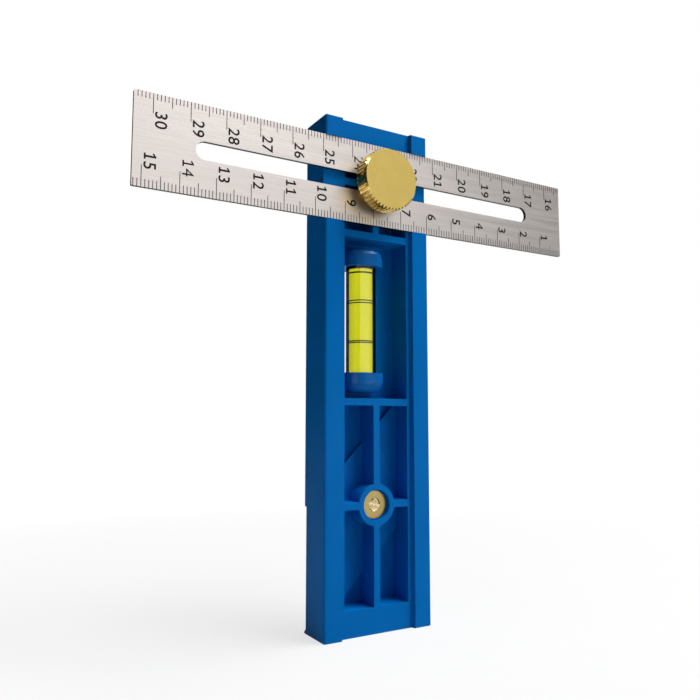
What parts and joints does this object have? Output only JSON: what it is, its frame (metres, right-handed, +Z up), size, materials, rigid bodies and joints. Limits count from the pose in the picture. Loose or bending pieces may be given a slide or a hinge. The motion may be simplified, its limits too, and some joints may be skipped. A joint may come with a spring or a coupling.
{
  "type": "adjustable marking gauge",
  "caption": "Marking gauge: a moulded stock with a spirit vial, and a slotted graduated rule that slides through it and is locked by a knurled thumb screw.",
  "frame": {"origin": "middle of the stock's bottom end face, on the face, halfway between its sides and halfway through its overall thickness", "axes": "+X along the rule towards its right end, +Y from the stock's front to its back, +Z up the stock"},
  "size_m": [0.1525, 0.02, 0.1524],
  "materials": {
    "stock_plastic": "satin moulded plastic",
    "cap_plastic": "glossy moulded plastic",
    "rule_steel": "satin ground steel with etched dark graduations",
    "brass": "turned brass",
    "vial_clear": "clear acrylic",
    "spirit": "tinted spirit",
    "plug_plastic": "matt"
  },
  "bodies": {
    "stock": {"stock": "stock_plastic", "upper_insert": "brass", "lower_insert": "brass", "vial_tube": "vial_clear", "vial_plug": "plug_plastic", "vial_spirit": "spirit", "vial_cap_upper": "cap_plastic", "vial_cap_lower": "cap_plastic"},
    "rule": {"rule": "rule_steel"},
    "washer": {"washer": "brass"},
    "thumb_screw": {"thumb_screw": "brass"}
  },
  "joints": [
    {"name": "rule_slide", "type": "slide", "parent": "stock", "child": "rule", "axis": [1, 0, 0], "range_m": [-0.0599, 0.0554]},
    {"name": "screw_travel", "type": "slide", "parent": "stock", "child": "washer", "axis": [0, -1, 0], "range_m": [0, 0.00211]},
    {"name": "screw_turn", "type": "hinge", "parent": "washer", "child": "thumb_screw", "pos_m": [0, -0.0065, 0.13345], "axis": [0, -1, 0], "range_deg": [0, 1080]}
  ],
  "couplings": [
    {"joint": "screw_travel", "follows": "screw_turn", "m_per_rad": 0.00011141}
  ]
}
